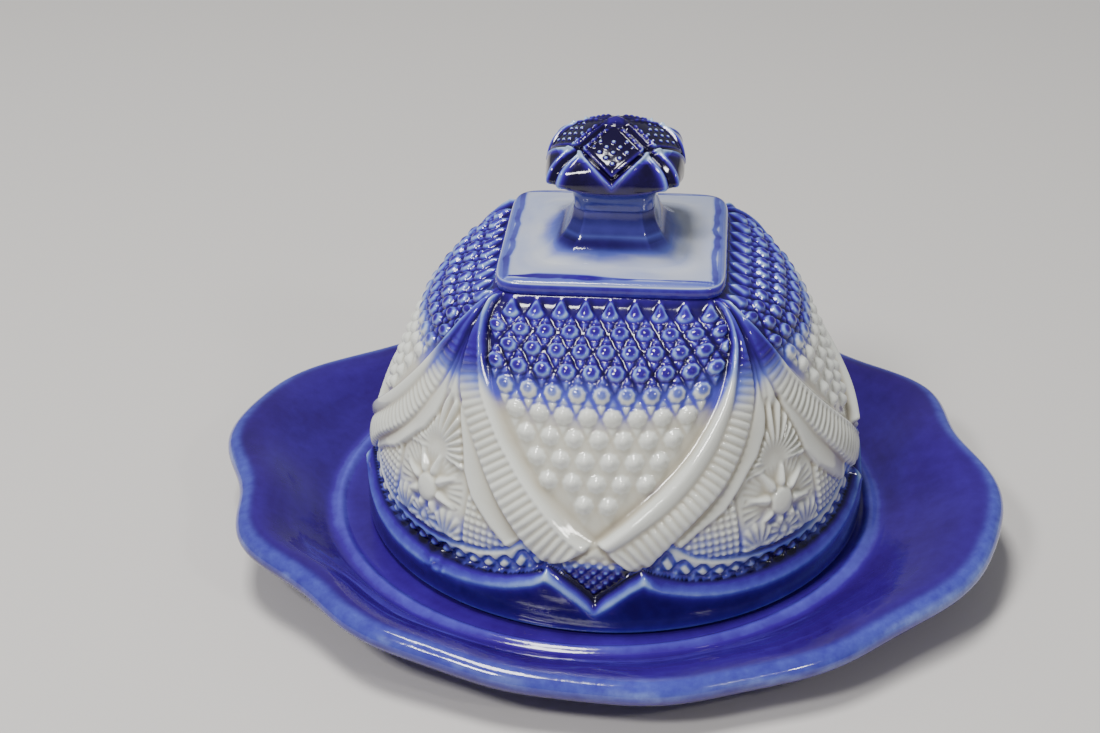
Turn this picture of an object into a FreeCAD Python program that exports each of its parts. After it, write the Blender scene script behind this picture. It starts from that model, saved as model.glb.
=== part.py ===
import FreeCAD, Part
import math
import os

V = FreeCAD.Vector
os.makedirs("parts", exist_ok=True)

# ---------------------------------------------------------------- dimensions (mm)
# The frame: origin on the table under the middle of the dish, +Z up, -Y the front.
SEAT_Z = 9.0            # dish floor, on which the cover stands
COVER_X = 2.4           # the loose cover stands a little off the dish's middle

# dish
FOOT_R_IN, FOOT_R_OUT, FOOT_H = 45.0, 50.5, 3.0
FLOOR_R = 64.0          # flat floor
RING_R, RING_W, RING_H = 68.6, 3.6, 0.9   # low ring that keeps the cover centred
RIM_R0 = 93.08          # mean rim radius
# lobes of the rim: (order, cosine, sine) terms of the rim radius
RIM_LOBES = ((2, 5.22, -1.90), (4, 0.46, -1.23), (6, -0.40, -0.85), (8, -0.44, -0.52),
             (10, -0.16, -0.65), (12, 0.44, -0.28), (14, 0.68, 0.00))
RIM_H0, RIM_HC, RIM_HS = 7.71, 2.97, 1.81   # rim height above the floor: mean, cos 2t, sin 2t
LIP_W = 7.0
LIP_T = 5.6

# cover: heights above the seat, half width across the faces, radius at the corners
DOME = (  # z, face, corner
    (13.0, 60.3, 60.4), (17.0, 60.5, 60.5), (22.0, 60.0, 60.0), (28.0, 58.6, 58.4),
    (36.0, 56.0, 56.0), (44.0, 52.7, 53.6), (52.0, 49.0, 50.6), (58.0, 45.6, 47.8),
    (63.0, 40.4, 45.0), (66.6, 34.0, 41.6), (69.0, 28.6, 38.4), (70.2, 26.4, 36.2),
)
FLANGE_R = 63.5
FLANGE_H = 13.5
WALL = 4.6
CAVITY_TOP = 64.5
SLAB_HALF, SLAB_TOP_HALF = 27.2, 25.2
SLAB_Z0, SLAB_Z1 = 69.6, 73.7
STEM = (  # z, half width, squareness
    (73.0, 15.4, 3.4), (74.0, 13.0, 3.6), (75.6, 11.0, 4.2), (78.0, 9.9, 4.6),
    (81.0, 9.6, 4.6), (84.0, 9.6, 4.6),
)
JOINT_Z = 84.0          # where the knob's neck is luted to the stem
KNOB = (  # z, half width, squareness
    (84.0, 9.6, 4.6), (86.4, 9.8, 4.6), (88.4, 10.6, 4.4), (89.6, 12.6, 4.4),
    (90.2, 14.6, 4.2), (91.4, 16.0, 4.2), (93.2, 16.5, 4.0), (95.6, 16.1, 3.8),
    (98.0, 14.3, 3.4), (100.0, 11.6, 3.0), (101.7, 8.4, 2.6), (103.0, 5.0, 2.3),
    (103.8, 2.4, 2.0),
)
KNOB_CORNER_LIFT = 1.5
KNOB_GROOVE = 0.7
LIFT = 0.13             # not a size of the solids: the cover lifts straight up this far (m)

N = 96                  # points round each ring


def ring(func):
    """A closed ring of points; func(angle) -> (radius, height)."""
    k = 1.0 / ((2.0 + math.cos(2 * math.pi / N)) / 3.0)
    out = []
    for i in range(N):
        t = 2 * math.pi * i / N
        r, z = func(t)
        out.append(V(r * k * math.cos(t), r * k * math.sin(t), z))
    return out


def square_radius(t, half, n):
    c, s = abs(math.cos(t)), abs(math.sin(t))
    return half * (c ** n + s ** n) ** (-1.0 / n)


def exponent(half, corner):
    return 1.0 / (0.5 - math.log(max(corner / half, 1.0), 2) if corner > half else 0.5)


def closed_body(rings, name):
    """A solid whose side is one smooth periodic surface through the rings, with flat ends."""
    nu, nv = len(rings), len(rings[0])
    s = Part.BSplineSurface()
    umults = [4] + [1] * (nu - 4) + [4]
    uknots = [float(i) for i in range(nu - 2)]
    vmults = [1] * (nv + 1)
    vknots = [float(i) for i in range(nv + 1)]
    s.buildFromPolesMultsKnots(rings, umults, vmults, uknots, vknots, False, True, 3, 3)
    side = s.toShape()
    caps = []
    for e in side.Edges:
        b = e.BoundBox
        if b.ZLength < 1e-6 and e.isClosed():
            caps.append(Part.Face(Part.Wire([e])))
    body = Part.makeSolid(Part.makeShell([side] + caps))
    if not body.isValid() or body.Volume < 0:
        body.fix(1e-4, 1e-4, 1e-4)
    if body.Volume < 0:
        body.reverse()
    print(name, "valid", body.isValid(), "closed", body.isClosed(), "volume", round(body.Volume))
    return body


# ---------------------------------------------------------------- dish
def rim_r(t):
    return RIM_R0 + sum(c * math.cos(k * t) + s * math.sin(k * t) for k, c, s in RIM_LOBES)


def rim_h(t):
    return RIM_H0 + RIM_HC * math.cos(2 * t) + RIM_HS * math.sin(2 * t)


def between(f, up):
    """A point of the concave side between the floor's edge and the lip."""
    def g(t):
        r0 = 70.0
        r1 = rim_r(t) - LIP_W
        return r0 + (r1 - r0) * f, SEAT_Z + rim_h(t) * up
    return g


dish_rings = [
    ring(lambda t: (FLOOR_R, SEAT_Z)),
    ring(lambda t: (67.5, SEAT_Z)),
    ring(lambda t: (71.0, SEAT_Z + 0.1)),
    ring(between(0.22, 0.16)),
    ring(between(0.50, 0.45)),
    ring(between(0.80, 0.86)),
    ring(lambda t: (rim_r(t) - LIP_W + 1.5, SEAT_Z + rim_h(t) + 0.4)),
    ring(lambda t: (rim_r(t) - 1.8, SEAT_Z + rim_h(t) + 0.6)),
    ring(lambda t: (rim_r(t) + 0.7, SEAT_Z + rim_h(t) - 1.6)),
    ring(lambda t: (rim_r(t) + 0.3, SEAT_Z + rim_h(t) - 4.6)),
    ring(lambda t: (rim_r(t) - 3.4, SEAT_Z + rim_h(t) - LIP_T - 1.0)),
    ring(lambda t: (rim_r(t) - 12.0, SEAT_Z + rim_h(t) * 0.75 - LIP_T - 0.6)),
    ring(lambda t: (70.0, 3.8 + 0.06 * rim_h(t))),
    ring(lambda t: (60.0, FOOT_H)),
    ring(lambda t: (54.0, FOOT_H)),
]
dish = closed_body(dish_rings, "dish body")

foot = Part.makeCylinder(FOOT_R_OUT, FOOT_H + 1.5).cut(
    Part.makeCylinder(FOOT_R_IN, FOOT_H + 4.0, V(0, 0, -1.0)))
low = [e for e in foot.Edges if e.BoundBox.ZMax < 0.01]
foot = foot.makeFillet(1.0, low)
dish = dish.fuse(foot)

# the low ring round the floor: a shallow arched bead
h, w, r0 = RING_H, RING_W / 2.0, RING_R
arc = Part.Arc(V(r0 - w, 0, SEAT_Z), V(r0, 0, SEAT_Z + h), V(r0 + w, 0, SEAT_Z)).toShape()
base = Part.makePolygon([V(r0 + w, 0, SEAT_Z), V(r0 + w, 0, SEAT_Z - 1.2),
                         V(r0 - w, 0, SEAT_Z - 1.2), V(r0 - w, 0, SEAT_Z)])
bead = Part.Face(Part.Wire([arc] + base.Edges)).revolve(V(0, 0, 0), V(0, 0, 1), 360)
dish = dish.fuse(bead)

# ---------------------------------------------------------------- cover dome
def dome_ring(z, half, corner, shrink=0.0):
    n = min(max(exponent(half, corner), 2.0), 9.0)
    return ring(lambda t: (square_radius(t, half, n) - shrink, SEAT_Z + z))


def round_ring(r, z):
    return ring(lambda t: (r, SEAT_Z + z))


outer = [
    round_ring(61.0, 0.0), round_ring(62.4, 0.25), round_ring(63.3, 1.2), round_ring(FLANGE_R, 3.0),
    round_ring(FLANGE_R + 0.1, 7.0), round_ring(FLANGE_R, 10.4), round_ring(62.8, 12.0),
    round_ring(61.0, 12.8),
] + [dome_ring(*d) for d in DOME[1:]]
body = closed_body(outer, "dome outside")

inner = [round_ring(56.0, -1.0), round_ring(56.0, 2.0), round_ring(56.0, 8.0)]
inner += [dome_ring(z - 1.0, a, c, WALL) for z, a, c in DOME if 15.0 < z < 60.0]
inner += [dome_ring(59.6, 42.6, 45.4, WALL), dome_ring(62.6, 37.0, 41.5, WALL),
          dome_ring(CAVITY_TOP, 29.0, 34.0, WALL), dome_ring(CAVITY_TOP + 0.4, 24.0, 29.0, WALL),
          dome_ring(CAVITY_TOP + 0.5, 14.0, 15.0, WALL)]
cavity = closed_body(inner, "dome inside")

hs, ht, z0, z1 = SLAB_HALF, SLAB_TOP_HALF, SEAT_Z + SLAB_Z0, SEAT_Z + SLAB_Z1
def slab_ring(a, z, n=11.0):
    return ring(lambda t: (square_radius(t, a, n), z))
slab = closed_body([slab_ring(hs - 1.6, z0 - 0.6), slab_ring(hs - 0.4, z0 - 0.1), slab_ring(hs, z0 + 0.9),
                    slab_ring(hs, z0 + 2.2), slab_ring(hs - 0.3, z1 - 0.9), slab_ring(ht + 0.5, z1 - 0.1),
                    slab_ring(ht - 1.2, z1), slab_ring(ht - 3.0, z1)], "slab")
stem = closed_body([ring(lambda t, a=a, n=n, z=z: (square_radius(t, a, n), SEAT_Z + z))
                    for z, a, n in STEM], "stem")
cover = body.fuse(slab).fuse(stem).cut(cavity)

# ---------------------------------------------------------------- cover knob
def knob_ring(z, half, n):
    def g(t):
        r = square_radius(t, half, n)
        # the lower corners sweep up a little
        corner = abs(math.sin(2 * t)) ** 3
        lift = KNOB_CORNER_LIFT * corner * max(0.0, 1.0 - abs(z - 91.2) / 4.0)
        # four shallow V grooves run from the crown to the lower corners
        d = (t - math.pi / 4) % (math.pi / 2)
        d = min(d, math.pi / 2 - d) * r
        g0 = KNOB_GROOVE * max(0.0, 1.0 - d / 1.6) * (1.0 if 92.0 < z < 103.2 else 0.0)
        return r - g0, SEAT_Z + z + lift
    return ring(g)


knob = closed_body([knob_ring(*k) for k in KNOB], "knob")

cover.translate(V(COVER_X, 0, 0))
knob.translate(V(COVER_X, 0, 0))


def save(shape, name):
    s = shape
    if len(s.Solids) == 1:
        s = s.Solids[0]
    s.exportStep("parts/%s.step" % name)
    b = s.BoundBox
    print("%-12s solids %d valid %s volume %.0f box %.2f %.2f %.2f .. %.2f %.2f %.2f" % (
        name, len(shape.Solids), s.isValid(), s.Volume, b.XMin, b.YMin, b.ZMin, b.XMax, b.YMax, b.ZMax))


save(dish, "dish")
save(cover, "cover_dome")
save(knob, "cover_knob")
print("dome and knob share", round(cover.common(knob).Volume, 3))
print("dome and dish share", round(cover.common(dish).Volume, 3))
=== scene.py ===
import bpy
import math
import numpy as np
from mathutils import Matrix, Vector


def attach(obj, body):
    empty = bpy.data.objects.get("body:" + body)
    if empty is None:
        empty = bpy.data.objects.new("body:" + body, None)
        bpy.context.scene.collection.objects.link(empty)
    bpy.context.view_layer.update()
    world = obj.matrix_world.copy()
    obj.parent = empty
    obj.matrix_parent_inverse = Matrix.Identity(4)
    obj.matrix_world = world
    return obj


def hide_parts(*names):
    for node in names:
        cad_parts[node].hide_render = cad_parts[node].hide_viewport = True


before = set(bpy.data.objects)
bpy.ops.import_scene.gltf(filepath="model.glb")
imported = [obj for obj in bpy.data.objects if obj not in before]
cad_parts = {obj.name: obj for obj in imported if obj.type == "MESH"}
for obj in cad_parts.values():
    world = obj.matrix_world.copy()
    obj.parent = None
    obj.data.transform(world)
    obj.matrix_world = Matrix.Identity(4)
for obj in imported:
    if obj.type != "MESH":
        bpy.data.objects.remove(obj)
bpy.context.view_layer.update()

# All lengths below are millimetres until a mesh is made.
SEAT, CX = 9.0, 2.4
rng = np.random.default_rng(11)


# ------------------------------------------------------------------ helpers
def smooth(x, n):
    if n < 2:
        return x
    k = np.ones(n) / n
    p = n // 2
    y = np.concatenate([2 * x[0] - x[p:0:-1], x, 2 * x[-1] - x[-2:-p - 2:-1]])
    return np.convolve(y, k, "same")[p:p + len(x)]


def sstep(x, a, b):
    t = np.clip((x - a) / (b - a), 0, 1)
    return t * t * (3 - 2 * t)


def bump(d, w):
    """1 at d=0, 0 beyond w, smooth."""
    t = np.clip(1 - np.abs(d) / w, 0, 1)
    return t * t * (3 - 2 * t)


def bspline_rows(ctrl, n):
    """Clamped cubic B-spline through rings (rows, cols, 3), sampled n times evenly in length."""
    ctrl = np.asarray(ctrl, float)
    m = len(ctrl)
    knots = np.concatenate([[0] * 3, np.arange(m - 2), [m - 3] * 3]).astype(float)

    def at(us):
        B = np.zeros((len(us), m))
        for i in range(m):
            c = np.zeros(m)
            c[i] = 1
            B[:, i] = deboor(us, c, knots)
        return B

    us = np.linspace(0, m - 3, 40 * m)
    line = at(us) @ ctrl.mean(1) if ctrl.shape[1] == 1 else at(us) @ ctrl[:, 0]
    L = np.r_[0, np.cumsum(np.linalg.norm(np.diff(line, axis=0), axis=1))]
    u = np.interp(np.linspace(0, L[-1], n), L, us)
    return np.tensordot(at(u), ctrl, axes=(1, 0))


def deboor(u, c, t, k=3):
    out = np.empty(len(u))
    n = len(c)
    for j, x in enumerate(u):
        s = min(max(int(np.searchsorted(t, x, side="right") - 1), k), n - 1)
        d = [c[i + s - k] for i in range(k + 1)]
        for r in range(1, k + 1):
            for i in range(k, r - 1, -1):
                den = t[i + 1 + s - r] - t[i + s - k]
                a = 0 if den == 0 else (x - t[i + s - k]) / den
                d[i] = (1 - a) * d[i - 1] + a * d[i]
        out[j] = d[k]
    return out


def blur(img, sig, wrap=True):
    """Gaussian blur of a (rows, cols) grid, sig in cells (rows, cols); columns wrap."""
    out = img
    for ax, s in ((0, sig[0]), (1, sig[1])):
        if s <= 0.05:
            continue
        h = max(1, int(3 * s + 0.5))
        k = np.exp(-0.5 * (np.arange(-h, h + 1) / s) ** 2)
        k /= k.sum()
        pad = [(0, 0), (0, 0)]
        pad[ax] = (h, h)
        src = np.pad(out, pad, mode="wrap" if (ax == 1 and wrap) else "edge")
        acc = np.zeros_like(out)
        for i, w in enumerate(k):
            acc += w * (src[i:i + out.shape[0]] if ax == 0 else src[:, i:i + out.shape[1]])
        out = acc
    return out


def wavy(rows, cols, seed, cells_r, cells_c, octaves=3):
    """Smooth periodic noise about 0, amplitude about 1."""
    g = np.random.default_rng(seed)
    out = np.zeros((rows, cols))
    for o in range(octaves):
        a, b = max(2, int(cells_r * 2 ** o)), max(3, int(cells_c * 2 ** o))
        v = g.standard_normal((a + 1, b))
        y = np.linspace(0, a, rows) * 0.9999
        x = np.arange(cols) / cols * b
        yi, xi = y.astype(int), x.astype(int)
        fy, fx = y - yi, x - xi
        fy, fx = fy * fy * (3 - 2 * fy), fx * fx * (3 - 2 * fx)
        A = v[yi][:, xi % b] * (1 - fx) + v[yi][:, (xi + 1) % b] * fx
        Bq = v[yi + 1][:, xi % b] * (1 - fx) + v[yi + 1][:, (xi + 1) % b] * fx
        out += (A * (1 - fy)[:, None] + Bq * fy[:, None]) / 2 ** o
    return out * 0.6


def make_mesh(name, rings, pole0=None, pole1=None, attrs=None, flip=False):
    """A closed mesh of rings (rows, cols, 3) in mm, with end points pole0 and pole1."""
    R = np.asarray(rings, float)
    n, m = R.shape[:2]
    co = [R.reshape(-1, 3)]
    q = np.arange(n * m).reshape(n, m)
    a, b = q[:-1], q[1:]
    quads = np.stack([a, np.roll(a, -1, 1), np.roll(b, -1, 1), b], -1).reshape(-1, 4)
    tris = []
    k = n * m
    if pole0 is not None:
        co.append(np.array([pole0], float))
        tris.append(np.stack([np.full(m, k), np.roll(q[0], -1), q[0]], -1))
        k += 1
    if pole1 is not None:
        co.append(np.array([pole1], float))
        tris.append(np.stack([np.full(m, k), q[-1], np.roll(q[-1], -1)], -1))
        k += 1
    tris = np.concatenate(tris) if tris else np.zeros((0, 3), int)
    if flip:
        quads, tris = quads[:, ::-1], tris[:, ::-1]
    co = np.concatenate(co) * 0.001
    me = bpy.data.meshes.new(name)
    me.vertices.add(len(co))
    me.vertices.foreach_set("co", co.astype(np.float32).ravel())
    loops = np.concatenate([quads.ravel(), tris.ravel()]).astype(np.int32)
    me.loops.add(len(loops))
    me.loops.foreach_set("vertex_index", loops)
    tot = np.r_[np.full(len(quads), 4), np.full(len(tris), 3)].astype(np.int32)
    me.polygons.add(len(tot))
    me.polygons.foreach_set("loop_start", np.r_[0, np.cumsum(tot)[:-1]].astype(np.int32))
    me.polygons.foreach_set("loop_total", tot)
    me.polygons.foreach_set("use_smooth", np.ones(len(tot), bool))
    me.update(calc_edges=True)
    me.validate()
    for key, val in (attrs or {}).items():
        v = np.asarray(val, float).reshape(-1)
        v = np.r_[v, np.full(len(co) - len(v), v[-1])]
        at = me.attributes.new(key, "FLOAT", "POINT")
        at.data.foreach_set("value", v.astype(np.float32))
    ob = bpy.data.objects.new(name, me)
    bpy.context.scene.collection.objects.link(ob)
    return ob


def grid_normals(P):
    du = np.roll(P, -1, 1) - np.roll(P, 1, 1)
    dv = np.empty_like(P)
    dv[1:-1] = P[2:] - P[:-2]
    dv[0], dv[-1] = P[1] - P[0], P[-1] - P[-2]
    N = np.cross(du, dv)
    return N / np.maximum(np.linalg.norm(N, axis=2, keepdims=True), 1e-9)


def spow(t, n):
    return (np.abs(np.cos(t)) ** n + np.abs(np.sin(t)) ** n) ** (-1.0 / n)


# ------------------------------------------------------------------ camera
# focal length over image width, and the view's place about the cover's axis
TURN = math.radians(-3.404)
DIST, ELEV, YAW, PIT, ROLL = 519.4, 0.565798, -0.0370844, -0.0625413, -0.0119499
Cp = np.array([0, -DIST * math.cos(ELEV), DIST * math.sin(ELEV)])
aa = ELEV + PIT
fw = np.array([math.sin(YAW) * math.cos(aa), math.cos(YAW) * math.cos(aa), -math.sin(aa)])
rt = np.array([math.cos(YAW), -math.sin(YAW), 0.0])
up = np.cross(rt, fw)
rt, up = (math.cos(ROLL) * rt + math.sin(ROLL) * up, -math.sin(ROLL) * rt + math.cos(ROLL) * up)
ct, st = math.cos(TURN), math.sin(TURN)
Rz = np.array([[ct, st, 0], [-st, ct, 0], [0, 0, 1]])
Cp, fw, rt, up = Rz @ Cp, Rz @ fw, Rz @ rt, Rz @ up
cam_data = bpy.data.cameras.new("camera")
cam_data.sensor_width = 36.0
cam_data.lens = 1986.8 / 1100.0 * 36.0
cam_data.clip_start, cam_data.clip_end = 0.02, 20.0
cam = bpy.data.objects.new("camera", cam_data)
loc = (Cp + np.array([CX, 0, SEAT])) * 0.001
cam.matrix_world = Matrix([[rt[0], up[0], -fw[0], loc[0]], [rt[1], up[1], -fw[1], loc[1]],
                           [rt[2], up[2], -fw[2], loc[2]], [0, 0, 0, 1]])
bpy.context.scene.collection.objects.link(cam)
bpy.context.scene.camera = cam

# ------------------------------------------------------------------ dome: base surface
WALL = np.array([
    (0.0, 60.4, 60.4), (6.0, 60.4, 60.4), (13.0, 60.4, 60.4), (17.0, 60.5, 60.5), (22.0, 60.0, 60.0),
    (28.0, 58.6, 58.4), (36.0, 56.0, 56.0), (44.0, 52.7, 53.6), (52.0, 49.0, 50.6), (58.0, 45.6, 47.8),
    (63.0, 40.4, 45.0), (66.6, 34.0, 41.6), (69.0, 28.6, 38.4), (70.2, 26.4, 36.2)])
L0 = np.r_[0, np.cumsum(np.hypot(np.diff(WALL[:, 0]), np.diff(WALL[:, 1])))]
fine = np.linspace(0, L0[-1], 1600)
Zf, Af, Cf = (smooth(smooth(np.interp(fine, L0, WALL[:, i]), 61), 61) for i in range(3))
Sf = np.r_[0, np.cumsum(np.hypot(np.diff(Zf), np.diff(Af)))]
DS = 0.36
NQ = 240
COLS = 4 * NQ
ROWS = int(Sf[-1] / DS)
S = np.linspace(0, Sf[-1], ROWS)
Z, A, C = (np.interp(S, Sf, v) for v in (Zf, Af, Cf))
NEXP = np.clip(1 / (0.5 - np.log2(np.maximum(C / A, 1.0))), 2, 9)


def s_of_z(z):
    return np.interp(z, Zf, Sf)


thq = np.radians(-45 + 90.0 * np.arange(NQ) / NQ)      # angle from the face's middle
TH, SS = np.meshgrid(thq, S)
ZZ = np.repeat(Z[:, None], NQ, 1)
RR = A[:, None] * spow(TH, NEXP[:, None])
TD = np.degrees(TH)


def dense(points, step=1.0, loop=False):
    """(angle in degrees, height) points as a smooth dense line of (radians, length up the wall)."""
    p = np.array([(math.radians(a), float(s_of_z(z))) for a, z in points])
    if len(p) > 2:
        q = np.vstack([2 * p[0] - p[1], p, 2 * p[-1] - p[-2]])
        out = []
        for i in range(1, len(q) - 2):
            n = max(2, int(math.hypot((q[i + 1, 0] - q[i, 0]) * 56, q[i + 1, 1] - q[i, 1]) / step))
            for t in np.arange(n) / n:
                out.append(0.5 * (2 * q[i] + (q[i + 1] - q[i - 1]) * t
                                  + (2 * q[i - 1] - 5 * q[i] + 4 * q[i + 1] - q[i + 2]) * t * t
                                  + (3 * q[i] - 3 * q[i + 1] + q[i + 2] - q[i - 1]) * t ** 3))
        out.append(p[-1])
        p = np.array(out)
    return p


def near(poly, th=None, s=None, r=None):
    """Distance in mm to a dense line, length along it, and the side (+ on its left)."""
    th = TH if th is None else th
    s = SS if s is None else s
    r = RR if r is None else r
    best = np.full(th.shape, 1e9)
    along = np.zeros(th.shape)
    side = np.zeros(th.shape)
    run = 0.0
    for (t0, s0), (t1, s1) in zip(poly[:-1], poly[1:]):
        ax, ay = (t0 - th) * r, s0 - s
        dx, dy = (t1 - t0) * r, s1 - s0
        L2 = dx * dx + dy * dy + 1e-9
        k = np.clip(-(ax * dx + ay * dy) / L2, 0, 1)
        px, py = ax + k * dx, ay + k * dy
        d = np.hypot(px, py)
        m = d < best
        best = np.where(m, d, best)
        along = np.where(m, run + k * np.sqrt(L2), along)
        side = np.where(m, np.sign(dx * -ay + dy * ax), side)
        run += float(math.hypot((t1 - t0) * 56, s1 - s0))
    return best, along, side


def edge(table):
    """A border given as height -> angle; returns its angle at every grid point and signed mm distance."""
    t = np.array(table, float)
    t = t[np.argsort(t[:, 0])]
    z = np.linspace(t[0, 0], t[-1, 0], 400)
    a = smooth(np.interp(z, t[:, 0], t[:, 1]), 25)
    ang = np.interp(ZZ, z, a)
    slope = np.interp(ZZ, z, np.gradient(np.radians(a), s_of_z(z))) * RR
    return ang, (np.radians(TD - ang) * RR) / np.sqrt(1 + slope ** 2)


L_OUT = [(14.0, -8.2), (16.5, -10.2), (17.7, -11.6), (19.9, -14.4), (22.8, -17.6), (26.5, -20.8), (29.9, -23.9),
         (33.3, -26.7), (36.5, -29.3), (39.8, -31.8), (43.3, -34.5), (46.4, -37.3), (49.5, -39.9),
         (53.3, -41.8), (57.1, -42.8), (61.2, -43.5), (65.5, -44.1), (68.0, -44.6), (70.2, -44.8)]
L_IN = [(19.0, 3.2), (21.0, -0.8), (22.8, -4.0), (24.4, -6.3), (26.6, -8.6), (30.0, -11.9), (33.4, -15.4), (36.8, -18.9),
        (40.2, -22.1), (43.3, -25.2), (46.4, -27.9), (49.3, -30.4), (52.6, -33.2), (56.4, -35.4),
        (60.1, -37.6), (64.6, -40.8), (67.9, -43.3), (70.2, -44.2)]
L_FIELD = [(22.0, 2.0), (24.7, -1.4), (27.5, -4.6), (31.5, -9.4), (36.4, -15.0), (41.1, -20.0), (45.8, -24.5),
           (49.4, -27.9), (53.2, -30.9), (57.0, -33.4), (60.7, -35.9), (64.3, -38.7), (67.4, -41.6), (70.2, -43.5)]
R_OUT = [(13.5, 7.2), (15.5, 9.0), (16.1, 9.7), (18.6, 11.9), (21.8, 14.8), (25.0, 18.3), (28.4, 22.5), (31.3, 26.5),
         (34.3, 30.0), (37.6, 33.1), (40.9, 35.8), (44.5, 38.3), (48.2, 40.6), (52.1, 42.6), (56.1, 43.5),
         (60.2, 43.9), (63.2, 44.2), (67.0, 44.6), (70.2, 44.8)]
R_IN = [(19.5, -1.6), (21.3, 1.8), (23.1, 5.2), (25.9, 8.9), (28.7, 13.1), (31.9, 17.5), (35.2, 21.4), (38.4, 25.0),
        (41.9, 28.4), (45.7, 31.5), (49.6, 34.3), (53.5, 36.8), (57.3, 38.9), (61.2, 41.2), (64.9, 42.6),
        (68.1, 43.6), (70.2, 44.3)]
R_FIELD = [(22.0, -2.6), (24.3, 0.0), (26.0, 1.7), (29.5, 6.0), (33.4, 10.6), (37.4, 15.7), (41.6, 20.6), (45.5, 24.7),
           (48.8, 28.1), (52.2, 31.4), (55.4, 34.0), (60.0, 37.2), (64.5, 40.2), (67.7, 42.3), (70.2, 43.6)]
lo_a, lo_d = edge(L_OUT)
li_a, li_d = edge(L_IN)
lf_a, lf_d = edge(L_FIELD)
ro_a, ro_d = edge(R_OUT)
ri_a, ri_d = edge(R_IN)
rf_a, rf_d = edge(R_FIELD)

T_ABS = np.abs(TD + 0.0)
# the flange's upper outline, the channel above it and the groove over the band of crosses
z_line = np.interp(TD, [-45, -38, -32, -26, -20, -14, -12.2, -11.2, -8.3, -4.2, -0.6, 3.2, 6.6, 9.8, 10.9, 13.4, 20, 26, 32, 38, 45],
                   [7.6, 7.7, 8.1, 8.9, 10.2, 12.6, 14.0, 14.9, 12.9, 9.4, 5.9, 9.2, 12.3, 14.6, 13.6, 12.0, 10.0, 8.7, 8.0, 7.6, 7.6])
z_chan = np.interp(T_ABS, [10.5, 12, 15, 20, 26, 32, 38, 45], [17.2, 16.0, 14.6, 12.7, 11.5, 10.9, 10.5, 10.4])
z_up = np.interp(T_ABS, [15, 17, 18.2, 20, 22, 25, 28, 31, 35, 38, 45], [24.0, 22.3, 21.2, 19.6, 18.5, 17.4, 16.6, 16.1, 15.8, 15.7, 15.7])
end_l = np.interp(TD, [-14, -11.6, -8.4, -5.0, -2.2, -0.4, 2], [17.0, 17.4, 17.9, 20.0, 22.2, 23.4, 25])
end_r = np.interp(TD, [-2, 0.0, 1.5, 3.8, 6.6, 9.7, 12], [26, 23.6, 22.3, 19.4, 17.0, 15.6, 14.4])

H = np.zeros_like(TH)
COBX = np.zeros_like(TH)          # extra cobalt, where the pattern holds more glaze

# --- corner panel, in its own mm coordinates about the diagonal
PH = np.where(TD > 0, TD - 45, TD + 45)
X = np.radians(PH) * RR
Y = SS - s_of_z(26.2)
in_l = np.interp(ZZ, [14, 21.4, 24.9, 28.3, 32, 35.6, 38.2, 43, 48.9, 56, 70], [-34, -26.8, -22, -15.5, -11.6, -8, -4.9, -1.6, 0.6, 1.2, 1.0])
in_r = np.interp(ZZ, [14, 17, 23.4, 28.9, 33.9, 39.4, 47, 56, 70], [32, 27.2, 19.4, 13.6, 10.5, 8.8, 5.6, 3.0, 1.2])
d_inl = np.radians(PH - in_l) * RR * 0.80
d_inr = np.radians(in_r - PH) * RR * 0.80
panel = np.minimum(d_inl, d_inr)            # > 0 inside the cut panel
wall_l = np.where(TD > 0, ro_d, 99.0)       # distance outside the right ribbon
wall_r = np.where(TD > 0, 99.0, -lo_d)      # distance outside the left ribbon of the next face
strip = np.minimum(wall_l, wall_r)


def tri(x):
    """Triangle wave, 1 on whole numbers, 0 half way."""
    return np.abs(((x + 0.5) % 1.0) - 0.5) * -2 + 1


hc = np.zeros_like(TH)
# smooth strips beside the ribbons, with a crisp edge along the cut panel
hc += (1.05 * sstep(panel, 0.5, -0.5) - 0.40 * sstep(panel, -1.0, -5.0)) * sstep(ZZ, 14.5, 20.0) * (1 - 0.30 * sstep(ZZ, 46, 60))
# spear under the plateau's corner
leaf_c = np.radians(np.interp(ZZ, [38, 43, 49, 56, 64, 70], [1.2, 1.6, 2.6, 3.0, 2.0, 1.2])) * RR
leaf_w = np.interp(ZZ, [41, 43, 46, 50, 55, 61, 66, 70], [0.25, 0.9, 1.9, 2.3, 2.1, 1.5, 0.9, 0.5])
lv = (X - leaf_c) / leaf_w
hc += np.where(ZZ > 40, 1.35 * (1 - np.clip(np.abs(lv), 0, 1) ** 1.4) * sstep(ZZ, 40.5, 45), 0)
hc -= 0.55 * bump(np.abs(lv) - 1.15, 0.35) * sstep(ZZ, 43, 48)
# palmette: rays from a low middle out to teeth along both borders
fx, fy = X - 0.2, SS - s_of_z(35.2)
fr, fa = np.hypot(fx, fy), np.degrees(np.arctan2(fy, fx))
m_fan = sstep(fr, 1.8, 4.2) * sstep(panel, -0.1, 0.5) * sstep(fy, -2.6, -0.8) * (1 - sstep(ZZ, 47.0, 50.0))
ray = sstep(tri(fa / 13.5 + 0.5), 0.05, 0.95)
hc = np.where(m_fan > 0.01, hc * (1 - m_fan) + m_fan * (0.05 + 1.25 * ray * (0.35 + 0.65 * sstep(fr, 3.0, 6.0))), hc)
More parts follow.
